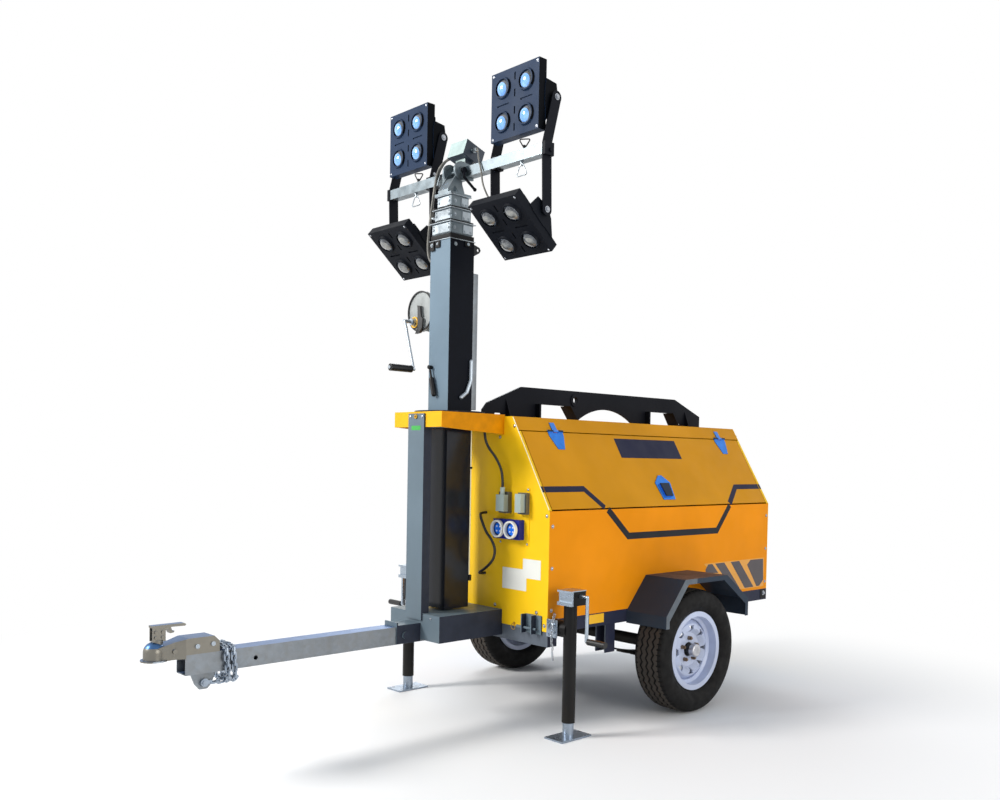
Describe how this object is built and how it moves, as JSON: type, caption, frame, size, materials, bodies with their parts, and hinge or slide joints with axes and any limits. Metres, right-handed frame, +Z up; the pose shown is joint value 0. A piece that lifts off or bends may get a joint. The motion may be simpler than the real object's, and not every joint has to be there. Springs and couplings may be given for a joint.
{
  "type": "mobile light tower",
  "caption": "Towed site light tower: yellow generator canopy on a single-axle trailer, telescopic mast in a front collar, light bar with square floodlights, swing jacks.",
  "frame": {"origin": "centre of the bounding box in plan, on the ground under the tyres and jack feet", "axes": "+X forward along the drawbar to the coupling, +Y to the left side, +Z up"},
  "size_m": [3.473, 1.582, 2.984],
  "materials": {
    "yellow_paint": "gloss",
    "grey_paint": "satin",
    "dark_paint": "satin",
    "frame_paint": "satin",
    "galvanised": "matte",
    "zinc": "satin",
    "jack_paint": "satin",
    "fender_paint": "satin",
    "tyre_rubber": "matte",
    "rim_paint": "gloss",
    "lamp_body": "satin",
    "lamp_glass": "gloss",
    "junction_plastic": "matte",
    "socket_plastic": "gloss",
    "plug_plastic": "satin",
    "panel_paint": "gloss",
    "cable_rubber": "matte",
    "engine_paint": "matte",
    "tank_plastic": "matte"
  },
  "bodies": {
    "chassis": {"chassis_frame": "frame_paint", "base_box": "grey_paint", "drawbar": "galvanised", "drawbar_bracket": "grey_paint", "coupler": "zinc", "coupler_latch": "zinc", "mast_post": "grey_paint", "mast_collar": "yellow_paint", "canopy_front": "yellow_paint", "canopy_rear": "yellow_paint", "canopy_side_left": "yellow_paint", "canopy_side_right": "yellow_paint", "canopy_roof": "yellow_paint", "roof_hinges": "zinc", "engine_block": "engine_paint", "fuel_tank": "tank_plastic", "lifting_beam": "dark_paint", "fenders": "fender_paint", "jack_mounts": "galvanised", "axle": "frame_paint", "leaf_springs": "frame_paint", "socket_panel": "panel_paint", "power_sockets": "socket_plastic", "plug_housings": "plug_plastic", "safety_chains": "zinc", "feed_cable_upper": "cable_rubber", "feed_cable_lower": "cable_rubber"},
    "wheel_left": {"tyre_left": "tyre_rubber", "rim_left": "rim_paint", "hub_left": "zinc"},
    "wheel_right": {"tyre_right": "tyre_rubber", "rim_right": "rim_paint", "hub_right": "zinc"},
    "jack_left": {"jack_tube_left": "jack_paint", "jack_head_left": "zinc"},
    "jack_right": {"jack_tube_right": "jack_paint", "jack_head_right": "zinc"},
    "jack_leg_left": {"jack_leg_left": "zinc"},
    "jack_leg_right": {"jack_leg_right": "zinc"},
    "door_left": {"door_left": "yellow_paint"},
    "door_right": {"door_right": "yellow_paint"},
    "mast": {"mast_tube": "grey_paint", "winch": "dark_paint", "winch_crank": "dark_paint"},
    "stage_1": {"mast_stage_1": "galvanised"},
    "stage_2": {"mast_stage_2": "galvanised"},
    "stage_3": {"mast_stage_3": "galvanised", "mast_head": "dark_paint"},
    "crossbar": {"light_bar": "galvanised", "junction_box": "junction_plastic", "lamp_yokes": "dark_paint", "head_cable": "cable_rubber"},
    "lamp_upper_left": {"lamp_upper_left": "lamp_body", "lenses_upper_left": "lamp_glass"},
    "lamp_upper_right": {"lamp_upper_right": "lamp_body", "lenses_upper_right": "lamp_glass"},
    "lamp_lower_left": {"lamp_lower_left": "lamp_body", "lenses_lower_left": "lamp_glass"},
    "lamp_lower_right": {"lamp_lower_right": "lamp_body", "lenses_lower_right": "lamp_glass"}
  },
  "joints": [
    {"name": "wheel_spin_left", "type": "hinge", "parent": "chassis", "child": "wheel_left", "pos_m": [-0.7635, 0.632, 0.3073], "axis": [0, 1, 0], "continuous": true},
    {"name": "jack_swing_left", "type": "hinge", "parent": "chassis", "child": "jack_left", "pos_m": [0.0445, 0.54, 0.485], "axis": [0, -1, 0], "range_deg": [0, 90]},
    {"name": "jack_leg_slide_left", "type": "slide", "parent": "jack_left", "child": "jack_leg_left", "axis": [0, 0, -1], "range_m": [-0.055, 0.25]},
    {"name": "door_hinge_left", "type": "hinge", "parent": "chassis", "child": "door_left", "pos_m": [-0.7635, 0.27661, 1.38541], "axis": [1, 0, 0], "range_deg": [0, 95]},
    {"name": "wheel_spin_right", "type": "hinge", "parent": "chassis", "child": "wheel_right", "pos_m": [-0.7635, -0.632, 0.3073], "axis": [0, 1, 0], "continuous": true},
    {"name": "jack_swing_right", "type": "hinge", "parent": "chassis", "child": "jack_right", "pos_m": [0.0445, -0.54, 0.485], "axis": [0, -1, 0], "range_deg": [0, 90]},
    {"name": "jack_leg_slide_right", "type": "slide", "parent": "jack_right", "child": "jack_leg_right", "axis": [0, 0, -1], "range_m": [-0.055, 0.25]},
    {"name": "door_hinge_right", "type": "hinge", "parent": "chassis", "child": "door_right", "pos_m": [-0.7635, -0.27661, 1.38541], "axis": [-1, 0, 0], "range_deg": [0, 95]},
    {"name": "mast_turn", "type": "hinge", "parent": "chassis", "child": "mast", "pos_m": [0.2745, 0, 0.54], "axis": [0, 0, 1], "range_deg": [-170, 170]},
    {"name": "stage_1_slide", "type": "slide", "parent": "mast", "child": "stage_1", "axis": [0, 0, 1], "range_m": [0, 1.25]},
    {"name": "stage_2_slide", "type": "slide", "parent": "stage_1", "child": "stage_2", "axis": [0, 0, 1], "range_m": [0, 1.25]},
    {"name": "stage_3_slide", "type": "slide", "parent": "stage_2", "child": "stage_3", "axis": [0, 0, 1], "range_m": [0, 1.25]},
    {"name": "bar_tilt", "type": "hinge", "parent": "stage_3", "child": "crossbar", "pos_m": [0.2625, 0, 2.593], "axis": [0, 1, 0], "range_deg": [-30, 30]},
    {"name": "lamp_upper_tilt_left", "type": "hinge", "parent": "crossbar", "child": "lamp_upper_left", "pos_m": [0.1605, 0.388, 2.831], "axis": [0, 1, 0], "range_deg": [-45, 90]},
    {"name": "lamp_lower_tilt_left", "type": "hinge", "parent": "crossbar", "child": "lamp_lower_left", "pos_m": [0.2075, 0.388, 2.335], "axis": [0, 1, 0], "range_deg": [-90, 40]},
    {"name": "lamp_upper_tilt_right", "type": "hinge", "parent": "crossbar", "child": "lamp_upper_right", "pos_m": [0.1605, -0.388, 2.831], "axis": [0, 1, 0], "range_deg": [-45, 90]},
    {"name": "lamp_lower_tilt_right", "type": "hinge", "parent": "crossbar", "child": "lamp_lower_right", "pos_m": [0.2075, -0.388, 2.335], "axis": [0, 1, 0], "range_deg": [-90, 40]}
  ],
  "couplings": [
    {"joint": "stage_2_slide", "follows": "stage_1_slide", "ratio": 1},
    {"joint": "stage_3_slide", "follows": "stage_1_slide", "ratio": 1}
  ]
}
